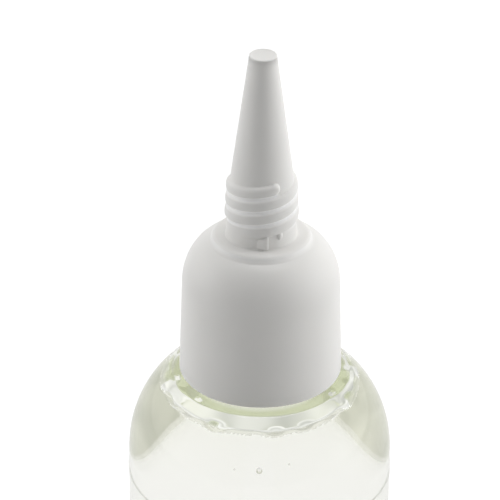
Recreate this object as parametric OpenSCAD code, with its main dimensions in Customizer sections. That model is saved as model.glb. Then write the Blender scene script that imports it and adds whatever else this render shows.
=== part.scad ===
// Glue applicator bottle: a clear bottle full of clear glue, closed by a white
// one-piece screw closure with a long closed spout. Millimetres. The origin is the
// centre of the bottle's underside, +Z up, -Y the front.

/* [Bottle] */

// Height from the table to the lower rim of the closure
rim_z = 78; // [60:0.5:120]
// Outside radius of the straight body
body_r = 22.5; // [21.5:0.1:24]
// Wall of the straight body
wall = 0.8; // [0.6:0.1:1.2]
// Height of the curved shoulder's lower end below the closure rim
shoulder_drop = 16.2; // [14:0.1:18]
// Depth of the hollow pushed up into the base
push_up = 3; // [1.5:0.1:5]
// Radius of the ring the bottle stands on
stand_r = 18.5; // [16:0.1:19]

/* [Neck] */

// Radius of the neck under its thread
neck_r = 10.75; // [10.6:0.05:10.8]
// Depth of the neck thread
neck_thread_depth = 1.0; // [0.85:0.05:1.0]
// Radius of the neck's bore
bore_r = 9.3; // [8.5:0.1:9.4]
// Height of the neck above its collar
neck_h = 17; // [16:0.1:17]
// Rise of the closure in one full turn
neck_pitch = 3.175; // [3:0.025:3.3]
// Length of the neck thread in degrees
neck_thread_turn = 600; // [540:10:620]

/* [Collar] */

// Radius of the flat ring the closure comes down to
collar_r = 15.0; // [14.6:0.1:15.1]
// Gap between the closure rim and the flat ring
collar_gap = 0.8; // [0.6:0.1:1.0]
// Thickness of the wall under the flat ring
collar_t = 3.1; // [2.6:0.1:3.2]

/* [Closure] */

// Outside radius of the closure at its rim
skirt_r = 13.75; // [13.6:0.05:14.2]
// Outside radius of the closure where its dome begins
dome_r = 13.3; // [13.2:0.05:13.5]
// Height of the dome's lower end above the rim
dome_z = 16.5; // [15:0.1:18]
// Radius of the closure's smooth bore
skirt_bore_r = 12.15; // [12.1:0.01:12.2]
// Depth of the thread inside the closure
cap_thread_depth = 1.0; // [0.9:0.05:1.0]
// Length of the thread inside the closure in degrees
cap_thread_turn = 450; // [360:10:480]
// Radius of the flat ledge around the spout's foot
ledge_r = 8.4; // [8.2:0.1:9.2]
// Height of the ledge above the rim
ledge_z = 25.85; // [25.6:0.05:26.2]

/* [Spout] */

// Height of the spout's tip above the closure rim
tip_z = 59.1; // [50:0.1:70]
// Radius of the tip
tip_r = 2.28; // [2:0.02:2.6]
// Slope of the cone, radius per height
cone_slope = 0.133; // [0.11:0.001:0.14]
// Radius of the threaded foot of the spout at the ledge
foot_r = 5.95; // [5.8:0.05:6.1]
// Slope of the threaded foot, radius per height
foot_slope = 0.045; // [0:0.001:0.05]
// Thickness of the closed end
tip_wall = 2.6; // [1.5:0.1:4]
// Radius of the channel just under the closed end
channel_tip_r = 1.2; // [0.8:0.05:1.4]
// Radius of the channel in the spout's foot
channel_foot_r = 4.3; // [3.6:0.1:4.4]

/* [Spout thread] */

// Rise of each of the two strands in one full turn
spout_lead = 4.85; // [4.75:0.05:5.4]
// Height of the strands above the foot
spout_thread_depth = 0.45; // [0.3:0.05:0.6]
// Breadth of each strand
spout_thread_w = 2.05; // [1.8:0.05:2.1]
// Length of each strand in degrees
spout_thread_turn = 610; // [360:10:610]
// Height of the strands' upper ends above the rim
spout_thread_top = 36.9; // [36.5:0.1:37]

/* [Seal] */

// Thickness of the sealing ring
liner_t = 1.0; // [0.6:0.1:1.5]

/* [Glue] */

// Distance from the closure rim down to the glue's surface
fill_drop = 4.3; // [4.3:0.1:30]
// Slack between the glue and the bottle wall
fill_gap = 0.02; // [0.01:0.01:0.05]

/* [Label] */

// Distance from the closure rim down to the label's upper edge
label_drop = 19.6; // [18.5:0.1:26]
// Height of the label
label_h = 52; // [30:0.5:52]
// Thickness of the film
label_t = 0.2; // [0.1:0.05:0.3]

/* [Hidden] */

clear_plastic = "#e8eef0";
glue_tint = "#eeeedd";
film_tint = "#f4f4f0";
foam_white = "#e6e3da";
closure_white = "#f2f1ed";

$fn = 60;

// bottle heights
land_z = rim_z - collar_gap;
ceiling_z = land_z - collar_t;
neck_top_z = land_z + neck_h;
shoulder_z = rim_z - shoulder_drop;
shoulder_mid_r = 4.7;
shoulder_a = body_r - shoulder_mid_r;
shoulder_b = 19.1;
shoulder_end_r = 15.3;
floor_t = 1.2;
level_z = rim_z - fill_drop;
heel_r = 2.6;
inner_r = body_r - wall;
inner_a = shoulder_a - wall;
inner_b = (ceiling_z - shoulder_z) / sin(arc_at(shoulder_mid_r, inner_a, shoulder_end_r));

// closure heights
shelf_z = neck_top_z + liner_t;
dome_mid_r = 6.9;
dome_a = dome_r - dome_mid_r;
dome_b = 8.6;
ledge_round = 0.8;
top_z = rim_z + tip_z;
ledge_top = rim_z + ledge_z;
foot_top_z = (tip_r + top_z * cone_slope - foot_r - ledge_top * foot_slope)
    / (cone_slope - foot_slope);
foot_top_r = foot_r - (foot_top_z - ledge_top) * foot_slope;
channel_top_z = top_z - tip_wall;
strand_z = rim_z + spout_thread_top - spout_lead * spout_thread_turn / 360;
strand_r = foot_r - (strand_z - ledge_top) * foot_slope;

// thread steps, degrees
step_deg = 10;

// points of an ellipse from angle a0 to a1 around (r0, z0)
function arc(r0, z0, a, b, a0, a1, n) = [
    for (i = [0 : n])
        let (t = a0 + (a1 - a0) * i / n)
        [r0 + a * cos(t), z0 + b * sin(t)]
];

// angle at which the ellipse reaches a radius
function arc_at(r0, a, r) = acos((r - r0) / a);

// eases 0 to 1 over the first and last ramp degrees of a strand
function ease(t, turn, ramp) = min(1, t / ramp, (turn - t) / ramp);

// one ring of a strand's section, placed at angle t
function strand_ring(section, t, turn, lead, z0, a0, ramp, slope) =
    let (k = sqrt(max(0.03, 1 - pow(1 - ease(t, turn, ramp), 2))))
    [for (p = section)
        let (r = p[0] - slope * lead * t / 360)
        [r * cos(a0 + t), r * sin(a0 + t), z0 + lead * t / 360 + p[1] * k]];

// helical strand: section points are [radius, height], counter-clockwise; slope is
// how much its radius shrinks per height
module strand(section, turn, lead, z0, a0, ramp, slope = 0) {
    n = len(section);
    steps = ceil(turn / step_deg);
    angles = concat([0, ramp * 0.13, ramp * 0.45],
        [for (i = [1 : steps - 1]) if (i * turn / steps > ramp * 0.7
            && i * turn / steps < turn - ramp * 0.7) i * turn / steps],
        [turn - ramp * 0.45, turn - ramp * 0.13, turn]);
    m = len(angles);
    points = [for (t = angles) each strand_ring(section, t, turn, lead, z0, a0, ramp, slope)];
    sides = [for (i = [0 : m - 2], j = [0 : n - 1])
        let (a = i * n + j, b = i * n + (j + 1) % n, c = b + n, d = a + n)
        each [[a, b, d], [b, c, d]]];
    first = [[for (j = [n - 1 : -1 : 0]) j]];
    last = [[for (j = [0 : n - 1]) (m - 1) * n + j]];
    polyhedron(points = points, faces = concat(first, sides, last));
}

// outline of the bottle's outside, from the base centre to the neck's lip
function outer_line() = concat(
    [[0, push_up]],
    arc(0, 0.4, stand_r - 1.5, push_up - 0.4, 78, 12, 4),
    [[stand_r - 1.2, 0.25], [stand_r - 0.6, 0]],
    arc(body_r - heel_r, heel_r, heel_r, heel_r, -90, 0, 5),
    arc(shoulder_mid_r, shoulder_z, shoulder_a, shoulder_b, 0,
        arc_at(shoulder_mid_r, shoulder_a, shoulder_end_r), 11),
    [[collar_r, land_z], [neck_r + 0.7, land_z], [neck_r, land_z + 0.7],
        [neck_r, neck_top_z - 0.4], [neck_r - 0.4, neck_top_z]]
);

// outline of the cavity below the neck, from the angle top_a down to the floor centre
function inner_line(gap, top_a) = concat(
    arc(shoulder_mid_r, shoulder_z, inner_a - gap, inner_b - gap, top_a, 0, 8),
    arc(inner_r - 2 - gap, floor_t + 2 + gap, 2, 2, 0, -90, 4),
    [[stand_r - 0.6, floor_t + gap]],
    arc(0, floor_t + 0.4 + gap, stand_r - 1.5, push_up - 0.4, 12, 78, 4),
    [[0, push_up + floor_t + gap]]
);

// low wedge-shaped stop standing on the collar
module collar_stop(a) {
    rotate([0, 0, a])
        translate([13.95, -0.45, land_z - 0.2])
            rotate([0, -90, -90])
                linear_extrude(height = 0.9)
                    polygon([[0, 0], [0.6, 0], [0.6, 0.5], [0.3, 0.85], [0, 0.85]]);
}

module bottle() {
    color(clear_plastic)
        union() {
            rotate_extrude($fn = 60)
                polygon(concat(
                    outer_line(),
                    [[bore_r + 0.3, neck_top_z], [bore_r, neck_top_z - 0.3],
                        [bore_r, ceiling_z + 0.4], [bore_r + 0.4, ceiling_z]],
                    inner_line(0, arc_at(shoulder_mid_r, inner_a, shoulder_end_r))
                ));
            strand(
                [[neck_r - 0.4, -1.2], [neck_r + neck_thread_depth, -0.45],
                    [neck_r + neck_thread_depth, 0.45], [neck_r - 0.4, 1.2]],
                neck_thread_turn, neck_pitch, land_z + 7.6, 200, 24
            );
            for (a = [-167.5, -135.7, -32.7])
                collar_stop(a);
        }
}

module glue() {
    color(glue_tint)
        rotate_extrude($fn = 60)
            polygon(concat(
                [[0, level_z]],
                inner_line(fill_gap, asin((level_z - shoulder_z) / (inner_b - fill_gap)))
            ));
}

module label() {
    color(film_tint)
        translate([0, 0, rim_z - label_drop - label_h])
            rotate([0, 0, 92])
                rotate_extrude(angle = 356, $fn = 60)
                    translate([body_r, 0])
                        square([label_t, label_h]);
}

module seal_liner() {
    color(foam_white)
        translate([0, 0, neck_top_z])
            difference() {
                cylinder(h = liner_t, r = skirt_bore_r - 0.35);
                translate([0, 0, -1])
                    cylinder(h = liner_t + 2, r = bore_r - 0.6);
            }
}

// outline of the closure's outside, from the rim up to the tip centre
function closure_line() = concat(
    [[skirt_bore_r + 0.25, rim_z], [skirt_r - 0.25, rim_z], [skirt_r, rim_z + 0.25]],
    arc(dome_mid_r, rim_z + dome_z, dome_a, dome_b, 0,
        arc_at(dome_mid_r, dome_a, ledge_r + 0.25), 10),
    arc(ledge_r - ledge_round, ledge_top - ledge_round, ledge_round, ledge_round, 20, 90, 3),
    [[foot_r + 0.25, ledge_top], [foot_r, ledge_top + 0.25], [foot_top_r, foot_top_z]],
    [[tip_r + 0.02, top_z - 0.3], [tip_r - 0.25, top_z], [0, top_z - 0.15]]
);

// outline of its hollow, from the channel's end down to the rim
function hollow_line() = [
    [0, channel_top_z],
    [channel_tip_r * 0.7, channel_top_z],
    [channel_tip_r, channel_top_z - 0.4],
    [channel_foot_r - 0.5, foot_top_z + 1],
    [channel_foot_r, foot_top_z - 1.5],
    [channel_foot_r, ledge_top - 1.6],
    [channel_foot_r + 0.6, ledge_top - 2.2],
    [ledge_r - 0.9, ledge_top - 2.6],
    [9.1, ledge_top - 3.6],
    [9.6, shelf_z + 2.2],
    [9.6, shelf_z],
    [skirt_bore_r - 0.2, shelf_z],
    [skirt_bore_r, shelf_z - 0.2],
    [skirt_bore_r, rim_z + 0.25]
];

// one stop tooth at the spout's foot: a steep face on one side, a ramp on the other
module stop_tooth(a) {
    rotate([0, 0, a])
        translate([0, 0, ledge_top - 0.1])
            linear_extrude(height = 2.7)
                polygon([[foot_r - 0.4, -1.5], [foot_r - 0.02, -1.5], [foot_r + 0.5, -0.2],
                    [foot_r + 0.5, 0.2], [foot_r - 0.4, 0.2]]);
}

// small snap bead above it
module snap_bead(a) {
    rotate([0, 0, a])
        translate([foot_r - 0.1, 0, ledge_top + 2.4])
            scale([0.5, 0.42, 0.75])
                sphere(r = 1, $fn = 24);
}

module nozzle_closure() {
    color(closure_white)
        union() {
            rotate_extrude($fn = 60)
                polygon(concat(closure_line(), hollow_line()));
            strand(
                [[skirt_bore_r + 0.3, 0.95], [skirt_bore_r - cap_thread_depth, 0.4],
                    [skirt_bore_r - cap_thread_depth, -0.4], [skirt_bore_r + 0.3, -0.95]],
                cap_thread_turn, neck_pitch,
                land_z + 7.6 - neck_pitch * 0.5, 200, 24
            );
            for (s = [0, 180]) {
                strand(
                    [[strand_r - 0.5, -0.5 * spout_thread_w],
                        [strand_r + 0.05, -0.5 * spout_thread_w],
                        [strand_r + spout_thread_depth * 0.8, -0.38 * spout_thread_w],
                        [strand_r + spout_thread_depth, -0.22 * spout_thread_w],
                        [strand_r + spout_thread_depth, 0.22 * spout_thread_w],
                        [strand_r + spout_thread_depth * 0.8, 0.38 * spout_thread_w],
                        [strand_r + 0.05, 0.5 * spout_thread_w],
                        [strand_r - 0.5, 0.5 * spout_thread_w]],
                    spout_thread_turn, spout_lead, strand_z,
                    s - 56.5 - spout_thread_turn, 14, foot_slope
                );
                stop_tooth(s - 82);
                snap_bead(s - 59);
            }
        }
}

bottle();
glue();
label();
seal_liner();
nozzle_closure();
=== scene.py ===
# Glue applicator bottle: a clear bottle full of clear glue, a clear film label,
# a foam seal and a white one-piece screw closure with a long closed spout.
import math
import bpy
from mathutils import Euler, Matrix, Vector


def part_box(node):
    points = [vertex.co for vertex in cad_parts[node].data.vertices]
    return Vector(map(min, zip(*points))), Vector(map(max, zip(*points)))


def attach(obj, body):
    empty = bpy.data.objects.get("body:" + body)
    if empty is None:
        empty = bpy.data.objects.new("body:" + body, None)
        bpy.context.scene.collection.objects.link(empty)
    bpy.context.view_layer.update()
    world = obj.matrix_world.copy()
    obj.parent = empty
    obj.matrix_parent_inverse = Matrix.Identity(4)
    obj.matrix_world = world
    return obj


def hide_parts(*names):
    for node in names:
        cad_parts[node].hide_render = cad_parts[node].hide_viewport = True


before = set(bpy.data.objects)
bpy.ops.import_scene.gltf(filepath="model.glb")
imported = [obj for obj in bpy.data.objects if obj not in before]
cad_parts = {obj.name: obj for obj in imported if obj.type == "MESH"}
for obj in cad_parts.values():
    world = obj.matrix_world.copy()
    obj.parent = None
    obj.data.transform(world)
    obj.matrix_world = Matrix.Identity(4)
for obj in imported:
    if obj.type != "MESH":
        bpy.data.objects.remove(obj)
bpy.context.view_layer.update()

MM = 0.001
closure_low, closure_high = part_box("nozzle_closure")
RIM = closure_low[2]
TIP = closure_high[2]


# ---------------------------------------------------------------- camera
# Long lens on a stand, looking down at the closure from the front. It is set by the
# closure's rim: its distance and its height above it.
LOOK_DOWN = math.radians(32.0)
DISTANCE = 0.600
TILT = math.radians(30.14)
YAW = math.radians(0.213)
ROLL = math.radians(0.417)

camera_data = bpy.data.cameras.new("camera")
camera_data.sensor_width = 36.0
camera_data.lens = 253.7
camera_data.clip_start = 0.05
camera_data.clip_end = 50.0
camera = bpy.data.objects.new("camera", camera_data)
bpy.context.collection.objects.link(camera)
turn = Euler((math.pi / 2 - TILT, 0.0, YAW)).to_matrix() @ Matrix.Rotation(ROLL, 3, "Z")
camera.matrix_world = Matrix.Translation((
    0.0,
    -DISTANCE * math.cos(LOOK_DOWN),
    RIM + DISTANCE * math.sin(LOOK_DOWN),
)) @ turn.to_4x4()
bpy.context.scene.camera = camera


# ---------------------------------------------------------------- floor and light
# A matt white sweep lit to pure white, soft light from both sides and from behind,
# and a darker room on the camera's side, which greys the front of white plastic.
WHITE = (1.0, 1.0, 1.0, 1.0)
LIT_SPOT = (0.0, 0.0, 0.10)


def node(tree, kind, settings=None, links=None):
    """Adds one node; settings are attributes or sockets, links feed its sockets."""
    new = tree.nodes.new(kind)
    for key, value in (settings or {}).items():
        if isinstance(key, str) and hasattr(new, key):
            setattr(new, key, value)
        else:
            new.inputs[key].default_value = value
    for key, source in (links or {}).items():
        tree.links.new(source, new.inputs[key])
    return new


def colour(hex_code):
    """Turns an sRGB hex colour to linear RGBA."""
    parts = [int(hex_code[i:i + 2], 16) / 255 for i in (1, 3, 5)]
    return tuple(c / 12.92 if c <= 0.04045 else ((c + 0.055) / 1.055) ** 2.4
                 for c in parts) + (1.0,)


bpy.context.scene.view_settings.view_transform = "Standard"
world = bpy.data.worlds.new("soft_studio")
bpy.context.scene.world = world
world.use_nodes = True
sky = world.node_tree
sky.nodes.clear()
# the room that lights white plastic: paler behind, to the right and overhead
direction = node(sky, "ShaderNodeTexCoord")
parts = node(sky, "ShaderNodeSeparateXYZ", links={0: direction.outputs["Generated"]})
side = node(sky, "ShaderNodeMath", {"operation": "MULTIPLY_ADD", 1: 0.08, 2: 0.36},
            {0: parts.outputs["X"]})
depth = node(sky, "ShaderNodeMath", {"operation": "MULTIPLY_ADD", 1: 0.26},
             {0: parts.outputs["Y"], 2: side.outputs[0]})
height = node(sky, "ShaderNodeMath", {"operation": "POWER", 1: 2.0}, {0: parts.outputs["Z"]})
room = node(sky, "ShaderNodeMath", {"operation": "MULTIPLY_ADD", 1: 0.14},
            {0: height.outputs[0], 2: depth.outputs[0]})
# the tent that is seen through and mirrored in clear plastic: brightest at its ends
across = node(sky, "ShaderNodeMath", {"operation": "POWER", 1: 6.0}, {0: parts.outputs["X"]})
ends = node(sky, "ShaderNodeMath", {"operation": "MULTIPLY_ADD", 1: 0.40, 2: 0.80},
            {0: across.outputs[0]})
tent = node(sky, "ShaderNodeMath", {"operation": "MULTIPLY_ADD", 1: 0.16},
            {0: parts.outputs["Y"], 2: ends.outputs[0]})
seen = node(sky, "ShaderNodeLightPath")
on_plastic = node(sky, "ShaderNodeBackground", {"Color": WHITE},
                  {"Strength": room.outputs[0]})
in_clear = node(sky, "ShaderNodeBackground", {"Color": WHITE},
                {"Strength": tent.outputs[0]})
backdrop = node(sky, "ShaderNodeBackground", {"Color": WHITE, "Strength": 1.05})
soft = node(sky, "ShaderNodeMixShader", None,
            {0: seen.outputs["Is Diffuse Ray"], 1: in_clear.outputs[0],
             2: on_plastic.outputs[0]})
choice = node(sky, "ShaderNodeMixShader", None,
              {0: seen.outputs["Is Camera Ray"], 1: soft.outputs[0], 2: backdrop.outputs[0]})
node(sky, "ShaderNodeOutputWorld", None, {"Surface": choice.outputs[0]})


def soft_box(name, place, size, power):
    """Adds a rectangular area light that faces the closure."""
    lamp = bpy.data.lights.new(name, "AREA")
    lamp.shape = "RECTANGLE"
    lamp.size, lamp.size_y = size
    lamp.energy = power
    holder = bpy.data.objects.new(name, lamp)
    bpy.context.collection.objects.link(holder)
    aim_line = Vector(LIT_SPOT) - Vector(place)
    holder.matrix_world = (Matrix.Translation(place)
                           @ aim_line.to_track_quat("-Z", "Y").to_matrix().to_4x4())
    return holder


panels = [
    soft_box("soft_box_right", (0.76, 0.09, 0.28), (0.6, 0.6), 3.3),
    soft_box("soft_box_left", (-0.80, 0.13, 0.28), (0.6, 0.6), 2.4),
]
# the side panels would show as hard squares in the clear wall
for panel in panels:
    panel.visible_glossy = False
soft_box("soft_box_above", (0.05, 0.12, 0.90), (0.5, 0.4), 1.15)

bpy.ops.object.select_all(action="DESELECT")
bpy.ops.mesh.primitive_plane_add(size=12.0, location=(0, 0, 0))
floor = bpy.context.object
# the floor is darker for the plastic it lights than for the camera
floor.name = "floor"
sweep = bpy.data.materials.new("white_sweep")
sweep.use_nodes = True
tree = sweep.node_tree
tree.nodes.clear()
paper = node(tree, "ShaderNodeBsdfDiffuse", {"Color": (0.4, 0.4, 0.4, 1.0)})
seen = node(tree, "ShaderNodeLightPath")
straight_on = node(tree, "ShaderNodeMapRange", {"To Min": 0.58, "To Max": 0.80},
                   {"Value": seen.outputs["Is Camera Ray"]})
level = node(tree, "ShaderNodeMapRange", {"To Max": 0.17},
             {"Value": seen.outputs["Is Diffuse Ray"], "To Min": straight_on.outputs[0]})
light = node(tree, "ShaderNodeEmission", {"Color": WHITE},
             {"Strength": level.outputs[0]})
both = node(tree, "ShaderNodeAddShader", None, {0: paper.outputs[0], 1: light.outputs[0]})
node(tree, "ShaderNodeOutputMaterial", None, {"Surface": both.outputs[0]})
floor.data.materials.append(sweep)


# ---------------------------------------------------------------- bottle
# One clear PET bottle, stretch-blown in a two-part mould: a straight round body, a
# rounded shoulder, a low collar, a threaded neck and a base pushed up in the middle.
SEGMENTS = 288
BODY_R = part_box("bottle")[1][0]
NECK_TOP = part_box("bottle")[1][2]
WALL = 0.8 * MM
LAND = RIM - 0.8 * MM
CEILING = LAND - 3.1 * MM
SHOULDER_Z = RIM - 16.2 * MM
SHOULDER_MID = 4.7 * MM
NECK_R = 10.75 * MM
BORE_R = 9.3 * MM
FILL = RIM - 4.3 * MM
INNER_A = BODY_R - WALL - SHOULDER_MID
INNER_B = 15.73 * MM
FILL_ANGLE = math.degrees(math.asin((FILL - SHOULDER_Z) / INNER_B))
PITCH = 3.175 * MM
PET_IOR = 1.575
NECK_THREAD_Z = LAND + 7.6 * MM
STOP_ANGLES = (-167.5, -135.7, -32.7)
STOP_R = 14.38 * MM
STOP_H = 0.4 * MM
THICK_R = 12.6 * MM


def arc(mid, reach, start, end, steps):
    """Points of an ellipse, angles in degrees from the radius line."""
    points = []
    for i in range(steps + 1):
        a = math.radians(start + (end - start) * i / steps)
        points.append((mid[0] + reach[0] * math.cos(a), mid[1] + reach[1] * math.sin(a)))
    return points


def straight(start, end, step):
    """Points from start to end, spaced about one step apart."""
    count = max(1, round(math.dist(start, end) / step))
    return [(start[0] + (end[0] - start[0]) * i / count,
             start[1] + (end[1] - start[1]) * i / count) for i in range(count + 1)]


def tidy_line(points):
    """Drops points that repeat the one before them."""
    line = [points[0]]
    for point in points[1:]:
        if math.dist(point, line[-1]) > 1e-6:
            line.append(point)
    return line


def lathe(name, line, sweep_angle=360.0):
    """Draws a line of (radius, height) points and spins it about the Z axis."""
    bpy.ops.object.select_all(action="DESELECT")
    bpy.ops.mesh.primitive_plane_add(size=MM)
    piece = bpy.context.object
    piece.name = name
    piece.data.name = name
    bpy.ops.object.mode_set(mode="EDIT")
    bpy.ops.mesh.select_all(action="SELECT")
    bpy.ops.mesh.merge(type="CENTER")
    points = tidy_line(line)
    here = Vector((points[0][0], 0.0, points[0][1]))
    bpy.ops.transform.translate(value=here)
    for radius, height in points[1:]:
        there = Vector((radius, 0.0, height))
        bpy.ops.mesh.extrude_vertices_move(
            TRANSFORM_OT_translate={"value": there - here})
        here = there
    bpy.ops.mesh.select_all(action="SELECT")
    bpy.ops.mesh.spin(steps=SEGMENTS, angle=math.radians(sweep_angle),
                      center=(0, 0, 0), axis=(0, 0, 1))
    bpy.ops.mesh.select_all(action="SELECT")
    bpy.ops.mesh.remove_doubles(threshold=2e-6)
    bpy.ops.mesh.normals_make_consistent(inside=False)
    bpy.ops.object.mode_set(mode="OBJECT")
    bpy.ops.object.shade_smooth()
    return piece


def strand_height(point, top_end, top_z, lead, turn, half, power, blunt, fade):
    """How far (0 to 1) a helical strand stands up at a point of a round wall.
    Its upper end is blunt; its lower end dies out over the last fade degrees."""
    here = math.degrees(math.atan2(point.y, point.x))
    radius = math.hypot(point.x, point.y)
    lag = (top_end - here) % 360.0
    best = 0.0
    while lag < turn:
        middle = top_z - lead * lag / 360.0
        off = abs(point.z - middle)
        # the ends are rounded: past the end centre the distance is measured from it
        cap = blunt / radius * 180.0 / math.pi
        over = max(cap - lag, lag - (turn - cap), 0.0) * math.pi / 180.0 * radius
        reach = math.hypot(off / half, over / blunt)
        if reach < 1.0:
            best = max(best, (1.0 - reach ** power[0]) ** power[1]
                       * min(1.0, (turn - lag) / fade))
        lag += 360.0
    return best


def neck_strand(point):
    """The neck's thread: one strand, a turn and two thirds long."""
    sweep = 600.0
    return strand_height(point, 200.0 + sweep, NECK_THREAD_Z + PITCH * sweep / 360,
                         PITCH, sweep, 1.05 * MM, (2.0, 0.8), 1.5 * MM, 24.0)


# half sections as (radius, height): outside from the base's middle up to the lip, then
# the dry wall down to the glue, then the wetted wall down to the middle again
outer = (
    [(0.0, 2.45 * MM), (0.7 * MM, 2.5 * MM), (1.0 * MM, 2.75 * MM), (1.25 * MM, 2.98 * MM)]
    + arc((0, 0.4 * MM), (17.0 * MM, 2.6 * MM), 82, 12, 14)
    + arc((17.9 * MM, 0.7 * MM), (1.1 * MM, 0.7 * MM), 200, 270, 5)
    + arc((BODY_R - 2.6 * MM, 2.6 * MM), (2.6 * MM, 2.6 * MM), -90, 0, 10)
    + arc((SHOULDER_MID, SHOULDER_Z), (BODY_R - SHOULDER_MID, 19.1 * MM), 0, 53.2, 44)
    + [(15.14 * MM, LAND - 0.01 * MM)]
    + straight((15.0 * MM, LAND), (13.6 * MM, LAND), 0.1 * MM)
    + [(12.4 * MM, LAND)]
    + arc((NECK_R + 0.7 * MM, LAND + 0.7 * MM), (0.7 * MM, 0.7 * MM), 270, 180, 6)
    + straight((NECK_R, LAND + 5.0 * MM), (NECK_R, LAND + 14.6 * MM), 0.16 * MM)
    + arc((NECK_R - 0.4 * MM, NECK_TOP - 0.4 * MM), (0.4 * MM, 0.4 * MM), 0, 90, 5)
)
dry = (
    arc((BORE_R + 0.3 * MM, NECK_TOP - 0.3 * MM), (0.3 * MM, 0.3 * MM), 90, 180, 4)
    + [(BORE_R, CEILING + 0.6 * MM)]
    + arc((BORE_R + 0.5 * MM, CEILING + 0.5 * MM), (0.5 * MM, 0.5 * MM), 180, 270, 6)
    + straight((12.0 * MM, CEILING), (15.0 * MM, CEILING), 0.25 * MM)
    + arc((SHOULDER_MID, SHOULDER_Z), (INNER_A, INNER_B), 51.0, FILL_ANGLE, 4)
)
wet = (
    arc((SHOULDER_MID, SHOULDER_Z), (INNER_A, INNER_B), FILL_ANGLE, 0, 44)
    + arc((BODY_R - WALL - 2.0 * MM, 3.2 * MM), (2.0 * MM, 2.0 * MM), 0, -90, 8)
    + arc((0, 1.6 * MM), (17.0 * MM, 2.6 * MM), 12, 88, 14)
    + [(0.0, 4.2 * MM)]
)


def endless(tree, surface, dark, light):
    """Ends rays thrown about inside for long in a painted glow: emission in cloudy dark and light
    tones, and painted streaks of reflection in the thick ring under the closure.
    """
    path = node(tree, "ShaderNodeLightPath")
    turns = node(tree, "ShaderNodeMath", {"operation": "GREATER_THAN", 1: 8.5},
                 {0: path.outputs["Ray Depth"]})
    crossings = node(tree, "ShaderNodeMath", {"operation": "GREATER_THAN", 1: 6.5},
                     {0: path.outputs["Transparent Depth"]})
    spot = node(tree, "ShaderNodeTexCoord")
    axes = node(tree, "ShaderNodeSeparateXYZ", None, {0: spot.outputs["Object"]})
    # in the thick ring under the closure one inner reflection is enough
    in_ring = node(tree, "ShaderNodeMath", {"operation": "GREATER_THAN", 1: CEILING - 0.6 * MM},
                   {0: axes.outputs["Z"]})
    allowed = node(tree, "ShaderNodeMath", {"operation": "SUBTRACT", 0: 1.5},
                   {1: in_ring.outputs[0]})
    mirrored = node(tree, "ShaderNodeMath", {"operation": "GREATER_THAN"},
                    {0: path.outputs["Glossy Depth"], 1: allowed.outputs[0]})
    either_one = node(tree, "ShaderNodeMath", {"operation": "MAXIMUM"},
                      {0: turns.outputs[0], 1: crossings.outputs[0]})
    late = node(tree, "ShaderNodeMath", {"operation": "MAXIMUM"},
                {0: either_one.outputs[0], 1: mirrored.outputs[0]})
    cloud = node(tree, "ShaderNodeTexNoise", {"Scale": 110.0, "Detail": 2.0, "Distortion": 0.6},
                 {"Vector": spot.outputs["Object"]})
    painted_glow_tone = node(tree, "ShaderNodeMix", {"data_type": "RGBA"}, {0: cloud.outputs[0]})
    painted_glow_tone.inputs[6].default_value = dark
    painted_glow_tone.inputs[7].default_value = light
    # painted reflection: pale and grey streaks that run round the ring, fine across it, long
    # along it
    flat = node(tree, "ShaderNodeCombineXYZ", None,
                {0: axes.outputs["X"], 1: axes.outputs["Y"]})
    reach = node(tree, "ShaderNodeVectorMath", {"operation": "LENGTH"}, {0: flat.outputs[0]})
    ring = node(tree, "ShaderNodeCombineXYZ", None,
                {0: axes.outputs["X"], 1: axes.outputs["Y"], 2: reach.outputs["Value"]})
    drawn = node(tree, "ShaderNodeVectorMath", {"operation": "MULTIPLY", 1: (0.3, 0.3, 1.6)},
                 {0: ring.outputs[0]})
    fine = node(tree, "ShaderNodeTexNoise", {"Scale": 420.0, "Detail": 1.0},
                {"Vector": drawn.outputs[0]})
    painted_streaks = node(tree, "ShaderNodeMapRange", {"From Min": 0.32, "From Max": 0.62},
                   {"Value": fine.outputs[0]})
    painted_streak_tone = node(tree, "ShaderNodeMix", {"data_type": "RGBA"}, {0: painted_streaks.outputs[0]})
    painted_streak_tone.inputs[6].default_value = (0.55, 0.56, 0.56, 1.0)
    painted_streak_tone.inputs[7].default_value = (0.98, 0.98, 1.02, 1.0)
    by_height = node(tree, "ShaderNodeMix", {"data_type": "RGBA"},
                     {0: in_ring.outputs[0], 6: painted_glow_tone.outputs[2], 7: painted_streak_tone.outputs[2]})
    painted_bounce_glow = node(tree, "ShaderNodeEmission", {"Strength": 1.0}, {"Color": by_height.outputs[2]})
    return node(tree, "ShaderNodeMixShader", None,
                {0: late.outputs[0], 1: surface.outputs[0], 2: painted_bounce_glow.outputs[0]})


def mark(piece, name, value):
    """Gives every point of a piece the same number under a name."""
    layer = piece.data.attributes.new(name, "FLOAT", "POINT")
    for item in layer.data:
        item.value = value


def push_points(piece, amount):
    """Moves each point straight out from the Z axis by amount(point)."""
    for vertex in piece.data.vertices:
        out = amount(vertex.co)
        if out:
            radius = math.hypot(vertex.co.x, vertex.co.y)
            vertex.co.x *= (radius + out) / radius
            vertex.co.y *= (radius + out) / radius


def join(name, pieces):
    """Joins pieces into the first, closes the seams and turns the faces outwards."""
    bpy.ops.object.select_all(action="DESELECT")
    for piece in pieces:
        piece.select_set(True)
    bpy.context.view_layer.objects.active = pieces[0]
    bpy.ops.object.join()
    whole = bpy.context.object
    whole.name = name
    bpy.ops.object.mode_set(mode="EDIT")
    bpy.ops.mesh.select_all(action="SELECT")
    bpy.ops.mesh.remove_doubles(threshold=2e-6)
    bpy.ops.mesh.normals_make_consistent(inside=False)
    bpy.ops.object.mode_set(mode="OBJECT")
    return whole


def plateau(distance, half, edge):
    """1 inside half, 0 beyond half + edge, smooth between."""
    t = min(1.0, max(0.0, (half + edge - abs(distance)) / edge))
    return t * t * (3.0 - 2.0 * t)


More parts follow.
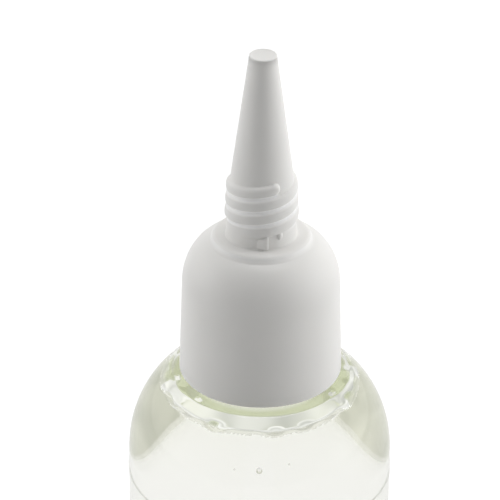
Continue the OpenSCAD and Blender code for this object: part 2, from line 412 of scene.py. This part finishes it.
def around(point, angle):
    """Distance along the wall from the direction angle, to the left of it positive."""
    gap = (math.degrees(math.atan2(point.y, point.x)) - angle + 180.0) % 360.0 - 180.0
    return math.radians(gap) * math.hypot(point.x, point.y)


outside = lathe("bottle_outside", outer)
push_points(outside, lambda p: 1.0 * MM * neck_strand(p) if p.z > LAND + 5 * MM else 0.0)
# three low stops that stand on the flat ring just outside the closure's rim
for vertex in outside.data.vertices:
    spot = vertex.co
    radius = math.hypot(spot.x, spot.y)
    if abs(spot.z - LAND) < 0.02 * MM and 13.6 * MM < radius < 15.05 * MM:
        for angle in STOP_ANGLES:
            spot.z += (STOP_H * plateau(radius - STOP_R, 0.32 * MM, 0.15 * MM)
                       * plateau(around(spot, angle), 0.36 * MM, 0.2 * MM))
mark(outside, "wetted", 0.0)


def uneven(piece):
    """The blown wall is thick and wavy on its inside where it leaves the neck."""
    for vertex in piece.data.vertices:
        spot = vertex.co
        radius = math.hypot(spot.x, spot.y)
        if 70 * MM < spot.z < 74.3 * MM and radius > 11 * MM:
            a = math.atan2(spot.y, spot.x)
            near = math.exp(-((radius - 15.5 * MM) / (1.2 * MM)) ** 2)
            wave = (0.20 * math.sin(7 * a + 0.6) + 0.16 * math.sin(11 * a + 2.1)
                    + 0.12 * math.sin(19 * a))
            spot.z += near * wave * MM


air_side = lathe("bottle_air_side", [outer[-1]] + dry)
uneven(air_side)
mark(air_side, "wetted", 0.0)
# the ring under the closure is unblown plastic, thick enough to show its tint
mark(air_side, "thick", 0.0)
thick = air_side.data.attributes["thick"]
for vertex in air_side.data.vertices:
    if abs(vertex.co.z - CEILING) < 0.6 * MM:
        thick.data[vertex.index].value = plateau(
            math.hypot(vertex.co.x, vertex.co.y) - THICK_R, 2.0 * MM, 0.8 * MM)
inside = lathe("bottle_inside", wet)
uneven(inside)
mark(inside, "wetted", 1.0)
bottle = join("clear_bottle", [outside, air_side, inside])

pet = bpy.data.materials.new("blown_clear_pet")
pet.use_nodes = True
tree = pet.node_tree
tree.nodes.clear()
place = node(tree, "ShaderNodeTexCoord")
# blown wall: waves about a centimetre long and a few hundredths of a millimetre high
waves = node(tree, "ShaderNodeTexNoise", {"Scale": 90.0, "Detail": 1.0, "Roughness": 0.4},
             {"Vector": place.outputs["Object"]})
ripple = node(tree, "ShaderNodeBump", {"Strength": 0.06, "Distance": 0.0004},
              {"Height": waves.outputs[0]})
unblown = node(tree, "ShaderNodeAttribute", {"attribute_name": "thick"})
body_tint = node(tree, "ShaderNodeMix", {"data_type": "RGBA"}, {0: unblown.outputs["Fac"]})
body_tint.inputs[6].default_value = WHITE
body_tint.inputs[7].default_value = (0.53, 0.60, 0.33, 1.0)
clear = node(tree, "ShaderNodeBsdfPrincipled", {
    "Roughness": 0.0, "IOR": PET_IOR, "Transmission Weight": 1.0},
    {"Base Color": body_tint.outputs[2], "Normal": ripple.outputs[0]})
through = node(tree, "ShaderNodeBsdfTransparent", {"Color": WHITE})
# where the wall is wet the glue's own surface bends the light, so the wall lets it by
wetted = node(tree, "ShaderNodeAttribute", {"attribute_name": "wetted"})
either = node(tree, "ShaderNodeMixShader", None,
              {0: wetted.outputs["Fac"], 1: clear.outputs[0], 2: through.outputs[0]})
# painted light: long-bounced rays in the wall end in a glow painted in these dark and light tones
either = endless(tree, either, (0.37, 0.385, 0.34, 1.0), (0.87, 0.87, 0.81, 1.0))
tint = node(tree, "ShaderNodeVolumeAbsorption",
            {"Color": (0.92, 0.95, 0.62, 1.0), "Density": 45.0})
node(tree, "ShaderNodeOutputMaterial", None,
     {"Surface": either.outputs[0], "Volume": tint.outputs[0]})
bottle.data.materials.clear()
bottle.data.materials.append(pet)
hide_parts("bottle")
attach(bottle, "bottle_body")


# ---------------------------------------------------------------- glue
# Clear water-based glue filling the bottle to just under the top of the shoulder,
# with a faint warm tint and a few small bubbles that never rose out of it.
GAP = 0.02 * MM
EDGE_R = wet[0][0] - GAP
CREEP_W = 1.2 * MM
CREEP_H = 0.30 * MM
LEVEL = FILL - CREEP_H
# the level surface, and the curve by which glue creeps up the wall
glue_line = (
    [(0.0, LEVEL), (8.0 * MM, LEVEL)]
    + straight((11.0 * MM, LEVEL), (EDGE_R - CREEP_W, LEVEL), 0.3 * MM)
    + arc((EDGE_R - CREEP_W, FILL), (CREEP_W, CREEP_H), 280, 350, 6)
)
wall_line = [(r - GAP if r > 0 else 0.0, z) for r, z in wet[1:]]
wall_line[-1] = (0.0, 4.2 * MM + GAP)
top = lathe("glue_top", glue_line)
uneven(top)
mark(top, "free_surface", 1.0)
side_wall = lathe("glue_side", [glue_line[-1]] + wall_line)
uneven(side_wall)
mark(side_wall, "free_surface", 0.0)
glue = join("clear_glue", [top, side_wall])


def bubble(x, y, z, radius):
    """A round bubble of air in the glue; its faces look into the air."""
    bpy.ops.object.select_all(action="DESELECT")
    bpy.ops.mesh.primitive_uv_sphere_add(
        segments=32, ring_count=16, radius=radius * MM, location=(x * MM, y * MM, z * MM))
    ball = bpy.context.object
    bpy.ops.object.transform_apply(location=True, rotation=False, scale=False)
    bpy.ops.object.shade_smooth()
    bpy.ops.object.mode_set(mode="EDIT")
    bpy.ops.mesh.select_all(action="SELECT")
    bpy.ops.mesh.flip_normals()
    bpy.ops.object.mode_set(mode="OBJECT")
    mark(ball, "free_surface", 1.0)
    return ball


# the first is the largest; five hang just under the surface at the front
bubbles = [bubble(*where) for where in (
    (0.0, -19.0, 69.1, 0.52), (-4.0, -18.4, 69.0, 0.17), (4.8, -18.4, 70.0, 0.15),
    (0.5, -13.6, 72.9, 0.24), (4.1, -11.6, 72.9, 0.20), (-7.4, -11.8, 72.9, 0.24),
    (-9.9, -8.7, 72.9, 0.20), (-11.0, -8.5, 72.9, 0.26), (3.0, 16.5, 60.0, 0.30),
    (-9.0, 15.0, 48.0, 0.22), (12.0, 10.0, 66.0, 0.25))]
bpy.ops.object.select_all(action="DESELECT")
for piece in [glue] + bubbles:
    piece.select_set(True)
bpy.context.view_layer.objects.active = glue
bpy.ops.object.join()
glue.data.name = "clear_glue"

GLUE_IOR = 1.46
liquid = bpy.data.materials.new("clear_water_glue")
liquid.use_nodes = True
tree = liquid.node_tree
tree.nodes.clear()
against_wall = node(tree, "ShaderNodeBsdfGlass", {
    "Color": WHITE, "Roughness": 0.0, "IOR": GLUE_IOR / PET_IOR})
against_air = node(tree, "ShaderNodeBsdfGlass", {
    "Color": WHITE, "Roughness": 0.0, "IOR": GLUE_IOR})
free = node(tree, "ShaderNodeAttribute", {"attribute_name": "free_surface"})
either = node(tree, "ShaderNodeMixShader", None,
              {0: free.outputs["Fac"], 1: against_wall.outputs[0], 2: against_air.outputs[0]})
# painted light: long-bounced rays in the glue end in a glow painted in these dark and light tones
either = endless(tree, either, (0.36, 0.37, 0.38, 1.0), (0.88, 0.87, 0.84, 1.0))
tint = node(tree, "ShaderNodeVolumeAbsorption",
            {"Color": (0.985, 0.975, 0.90, 1.0), "Density": 4.5})
node(tree, "ShaderNodeOutputMaterial", None,
     {"Surface": either.outputs[0], "Volume": tint.outputs[0]})
glue.data.materials.clear()
glue.data.materials.append(liquid)
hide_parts("glue")
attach(glue, "bottle_body")


# ---------------------------------------------------------------- label
# A wrap of clear film stuck round the straight body. Only its edges and its slight
# gloss show; the two ends meet at the back.
LABEL_LOW, LABEL_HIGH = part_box("label")[0][2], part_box("label")[1][2]
FILM = 0.2 * MM
EDGE = 0.06 * MM
SEAM = 4.0
film_back = BODY_R + 0.01 * MM
film_front = BODY_R + FILM - EDGE
film_line = (
    [(film_back, LABEL_HIGH - 0.02 * MM)]
    + arc((film_front, LABEL_HIGH - EDGE), (EDGE, EDGE), 90, 0, 3)
    + arc((film_front, LABEL_LOW + EDGE), (EDGE, EDGE), 0, -90, 3)
    + [(film_back, LABEL_LOW), (film_back, LABEL_HIGH - 0.02 * MM)]
)
label = lathe("clear_label", film_line, sweep_angle=360.0 - SEAM)
# the open seam is turned to the back and the film's two ends are closed
bpy.ops.object.mode_set(mode="EDIT")
bpy.ops.mesh.select_all(action="SELECT")
bpy.ops.transform.rotate(value=math.radians(SEAM / 2 - 90.0), orient_axis="Z",
                         center_override=(0.0, 0.0, 0.0))
bpy.ops.mesh.select_all(action="DESELECT")
bpy.ops.mesh.select_mode(type="EDGE")
bpy.ops.mesh.select_non_manifold()
bpy.ops.mesh.fill_holes(sides=0)
bpy.ops.mesh.select_mode(type="VERT")
bpy.ops.mesh.select_all(action="SELECT")
bpy.ops.mesh.normals_make_consistent(inside=False)
bpy.ops.object.mode_set(mode="OBJECT")
film = bpy.data.materials.new("clear_glossy_film")
film.use_nodes = True
tree = film.node_tree
tree.nodes.clear()
# painted shade: the top strip at the cut edge lets less light through, a grey line standing in
# for the edge's refraction; the film itself all but unseen
place = node(tree, "ShaderNodeTexCoord")
up = node(tree, "ShaderNodeSeparateXYZ", None, {0: place.outputs["Object"]})
cut = node(tree, "ShaderNodeMapRange", {
    "From Min": LABEL_HIGH - 0.26 * MM, "From Max": LABEL_HIGH - 0.14 * MM},
    {"Value": up.outputs["Z"]})
painted_light_mark = node(tree, "ShaderNodeMix", {"data_type": "RGBA"}, {0: cut.outputs[0]})
painted_light_mark.inputs[6].default_value = (0.996, 0.996, 0.994, 1.0)
painted_light_mark.inputs[7].default_value = (0.84, 0.84, 0.83, 1.0)
see = node(tree, "ShaderNodeBsdfTransparent", None, {"Color": painted_light_mark.outputs[2]})
gloss = node(tree, "ShaderNodeBsdfGlossy", {"Color": WHITE, "Roughness": 0.06})
slant = node(tree, "ShaderNodeLayerWeight", {"Blend": 0.5})
steep = node(tree, "ShaderNodeMath", {"operation": "POWER", 1: 5.0},
             {0: slant.outputs["Facing"]})
side_seen = node(tree, "ShaderNodeNewGeometry")
front = node(tree, "ShaderNodeMapRange", {"To Min": 0.5, "To Max": 0.0},
             {"Value": side_seen.outputs["Backfacing"]})
sheen = node(tree, "ShaderNodeMath", {"operation": "MULTIPLY"},
             {0: steep.outputs[0], 1: front.outputs[0]})
mix = node(tree, "ShaderNodeMixShader", None,
           {0: sheen.outputs[0], 1: see.outputs[0], 2: gloss.outputs[0]})
node(tree, "ShaderNodeOutputMaterial", None, {"Surface": mix.outputs[0]})
label.data.materials.clear()
label.data.materials.append(film)
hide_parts("label")
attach(label, "bottle_body")


# ---------------------------------------------------------------- seal
# A flat ring of closed-cell foam punched from sheet and pressed up into the closure,
# where it seals on the neck's lip.
foam = bpy.data.materials.new("closed_cell_foam")
foam.use_nodes = True
tree = foam.node_tree
tree.nodes.clear()
place = node(tree, "ShaderNodeTexCoord")
cells = node(tree, "ShaderNodeTexVoronoi", {"Scale": 4200.0},
             {"Vector": place.outputs["Object"]})
patches = node(tree, "ShaderNodeTexNoise", {"Scale": 500.0, "Detail": 3.0},
               {"Vector": place.outputs["Object"]})
shade = node(tree, "ShaderNodeMix", {"data_type": "RGBA"}, {0: patches.outputs[0]})
shade.inputs[6].default_value = colour("#dedad0")
shade.inputs[7].default_value = colour("#ebe8e0")
pits = node(tree, "ShaderNodeBump", {"Strength": 0.6, "Distance": 0.00008},
            {"Height": cells.outputs["Distance"]})
matt = node(tree, "ShaderNodeBsdfPrincipled", {"Roughness": 0.85, "IOR": 1.45},
            {"Base Color": shade.outputs[2], "Normal": pits.outputs[0]})
node(tree, "ShaderNodeOutputMaterial", None, {"Surface": matt.outputs[0]})
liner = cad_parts["seal_liner"]
liner.data.materials.clear()
liner.data.materials.append(foam)


# ---------------------------------------------------------------- closure
# One white polyethylene moulding: a screw skirt with a slight draft, a domed top, a
# flat ledge, and the spout: a foot with a two-start thread and a long closed cone.
SKIRT_R = closure_high[0]
LEDGE = RIM + 25.85 * MM
LEDGE_R = 8.4 * MM
LEDGE_ROUND = 0.8 * MM
FOOT_R = 5.95 * MM
FOOT_SLOPE = 0.045
TIP_R = 2.28 * MM
SLOPE = 0.133
LEAD = 4.85 * MM
BAND_TOP = RIM + 36.9 * MM
BORE = 12.15 * MM
SHELF = NECK_TOP + 1.0 * MM
BAND_DEPTH = 0.45 * MM
BAND_ENDS = (-56.5, 123.5)
TOOTH_ANGLES = (-82.0, 98.0)
BEAD_ANGLES = (-59.0, 121.0)
# height at which the foot's slight taper meets the cone's
cone_foot = (TIP_R + TIP * SLOPE - FOOT_R - LEDGE * FOOT_SLOPE) / (SLOPE - FOOT_SLOPE)


def cone_r(height):
    """Radius of the spout's cone at a height."""
    return TIP_R + (TIP - height) * SLOPE


def foot_r(height):
    """Radius of the spout's foot at a height, without its bands."""
    return FOOT_R - (height - LEDGE) * FOOT_SLOPE


# outside from the rim up to the tip, then the hollow from its top down to the rim
shell = (
    arc((SKIRT_R - 0.25 * MM, RIM + 0.25 * MM), (0.25 * MM, 0.25 * MM), 270, 360, 4)
    + arc((6.9 * MM, RIM + 16.5 * MM), (6.4 * MM, 8.6 * MM), 0, 74.1, 30)
    + arc((LEDGE_R - LEDGE_ROUND, LEDGE - LEDGE_ROUND), (LEDGE_ROUND, LEDGE_ROUND), 20, 90, 8)
    + [(FOOT_R + 1.2 * MM, LEDGE)]
    + arc((FOOT_R + 0.3 * MM, LEDGE + 0.3 * MM), (0.3 * MM, 0.3 * MM), 270, 180, 4)
    + straight((foot_r(LEDGE + 0.4 * MM), LEDGE + 0.4 * MM), (foot_r(cone_foot), cone_foot),
               0.1 * MM)
    + straight((cone_r(cone_foot), cone_foot), (cone_r(BAND_TOP + 2.0 * MM), BAND_TOP + 2.0 * MM),
               0.1 * MM)
    + straight((cone_r(BAND_TOP + 2.0 * MM), BAND_TOP + 2.0 * MM),
               (cone_r(TIP - 0.2 * MM), TIP - 0.2 * MM), 1.5 * MM)
    + arc((TIP_R - 0.17 * MM, TIP - 0.2 * MM), (0.2 * MM, 0.2 * MM), 0, 90, 5)
    + arc((0, TIP), (TIP_R - 0.25 * MM, -0.12 * MM), 0, 90, 6)
)
hollow = (
    [(0.0, TIP - 2.6 * MM), (0.8 * MM, TIP - 2.6 * MM), (1.2 * MM, TIP - 3.0 * MM),
     (3.8 * MM, cone_foot + 1.0 * MM), (4.3 * MM, cone_foot - 1.5 * MM),
     (4.3 * MM, LEDGE - 1.6 * MM), (4.9 * MM, LEDGE - 2.2 * MM),
     (7.9 * MM, LEDGE - 2.6 * MM), (9.1 * MM, LEDGE - 3.6 * MM),
     (9.6 * MM, SHELF + 2.2 * MM), (9.6 * MM, SHELF), (BORE - 0.2 * MM, SHELF),
     (BORE, SHELF - 0.2 * MM)]
    + straight((BORE, RIM + 11.0 * MM), (BORE, RIM + 3.6 * MM), 0.2 * MM)
    + [(BORE, RIM + 0.25 * MM), (BORE + 0.25 * MM, RIM), (SKIRT_R - 0.25 * MM, RIM)]
)


def spout_band(point):
    """How far (0 to 1) the two-start thread's bands stand up at a point."""
    best = 0.0
    for end in BAND_ENDS:
        best = max(best, strand_height(point, end, BAND_TOP, LEAD, 610.0,
                                       1.0 * MM, (3.6, 0.65), 1.1 * MM, 50.0))
    return best


def groove(point):
    """How deep (0 to 1) a point lies in the groove under one of the bands."""
    best = 0.0
    for end in BAND_ENDS:
        best = max(best, strand_height(point, end, BAND_TOP - 0.25 * LEAD, LEAD, 540.0,
                                       0.52 * MM, (2.0, 0.8), 1.1 * MM, 90.0))
    return best


def cap_strand(point):
    """The closure's inner thread, half a pitch away from the neck's."""
    sweep = 450.0
    return strand_height(point, 200.0 + sweep,
                         NECK_THREAD_Z - PITCH * 0.5 + PITCH * sweep / 360,
                         PITCH, sweep, 0.85 * MM, (2.0, 0.8), 1.5 * MM, 24.0)


def tooth(point):
    """A stop that climbs gently on its left and drops steeply on its right."""
    best = 0.0
    for angle in TOOTH_ANGLES:
        along = around(point, angle)
        if -1.6 * MM < along < 0.33 * MM:
            rise = min(1.0, (along + 1.6 * MM) / (1.3 * MM), (0.33 * MM - along) / (0.13 * MM))
            top = 2.5 * MM + 0.5 * min(0.0, along)
            best = max(best, 0.5 * MM * rise * plateau(point.z - LEDGE, top, 0.15 * MM))
    return best


def bead(point):
    """A small drop-shaped bead that snaps past a stop on a screw-on cover."""
    best = 0.0
    for angle in BEAD_ANGLES:
        across = around(point, angle) / (0.45 * MM)
        up = (point.z - LEDGE - 2.4 * MM) / (0.75 * MM)
        best = max(best, 0.42 * MM * math.sqrt(max(0.0, 1.0 - across * across - up * up)))
    return best


def closure_push(point):
    """How far a point of the closure moves out: bands, teeth, beads or inner thread."""
    radius = math.hypot(point.x, point.y)
    if point.z > LEDGE + 0.35 * MM and radius > 5.0 * MM:
        foot = min(foot_r(point.z), cone_r(point.z))
        crest = foot_r(point.z) + BAND_DEPTH
        return max((crest - foot) * spout_band(point), tooth(point), bead(point))
    if RIM + 3.5 * MM < point.z < RIM + 11.1 * MM and radius < BORE + 0.1 * MM:
        return -1.0 * MM * cap_strand(point)
    return 0.0


closure = lathe("white_closure", shell + hollow)
# painted highlight: grooves and the ledge's edge are marked, before the bands are raised, to be
# painted paler and to glow faintly
painted_light_mark = closure.data.attributes.new("groove", "FLOAT", "POINT")
for vertex in closure.data.vertices:
    if vertex.co.z > LEDGE + MM and math.hypot(vertex.co.x, vertex.co.y) > 5.0 * MM:
        painted_light_mark.data[vertex.index].value = groove(vertex.co)
    elif (abs(vertex.co.z - LEDGE + 0.5 * MM) < 0.25 * MM
            and math.hypot(vertex.co.x, vertex.co.y) > 7.6 * MM):
        painted_light_mark.data[vertex.index].value = 0.35
push_points(closure, closure_push)

white = bpy.data.materials.new("moulded_white_polyethylene")
white.use_nodes = True
tree = white.node_tree
tree.nodes.clear()
place = node(tree, "ShaderNodeTexCoord")
grain = node(tree, "ShaderNodeTexNoise", {"Scale": 3500.0, "Detail": 2.0},
             {"Vector": place.outputs["Object"]})
flow = node(tree, "ShaderNodeTexNoise", {"Scale": 160.0, "Detail": 2.0},
            {"Vector": place.outputs["Object"]})
shade = node(tree, "ShaderNodeMix", {"data_type": "RGBA"}, {0: flow.outputs[0]})
shade.inputs[6].default_value = colour("#efeeeb")
shade.inputs[7].default_value = colour("#f2f1ee")
# painted highlight: the grooves and the ledge's edge are painted paler, standing in for the light
# they catch
painted_highlight_mask = node(tree, "ShaderNodeAttribute", {"attribute_name": "groove"})
skin_with_painted_highlight = node(tree, "ShaderNodeMix", {"data_type": "RGBA"},
            {0: painted_highlight_mask.outputs["Fac"], 6: shade.outputs[2]})
skin_with_painted_highlight.inputs[7].default_value = colour("#fdfdfc")
bump = node(tree, "ShaderNodeBump", {"Strength": 0.25, "Distance": 0.00002},
            {"Height": grain.outputs[0]})
# painted highlight: the grooves and the ledge's thin edge glow faintly, standing in for light
# gathered between white walls
painted_groove_glow = node(tree, "ShaderNodeMath", {"operation": "MULTIPLY", 1: 0.07},
                {0: painted_highlight_mask.outputs["Fac"]})
plastic = node(tree, "ShaderNodeBsdfPrincipled", {
    "Roughness": 0.33, "IOR": 1.51, "Subsurface Weight": 0.25, "Subsurface Scale": 0.0008,
    "Subsurface Radius": (1.0, 0.97, 0.93), "Specular IOR Level": 0.5,
    "Emission Color": (1.0, 0.99, 0.97, 1.0)},
    {"Base Color": skin_with_painted_highlight.outputs[2], "Normal": bump.outputs[0],
     "Emission Strength": painted_groove_glow.outputs[0]})
node(tree, "ShaderNodeOutputMaterial", None, {"Surface": plastic.outputs[0]})
closure.data.materials.clear()
closure.data.materials.append(white)
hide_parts("nozzle_closure")
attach(closure, "closure_body")
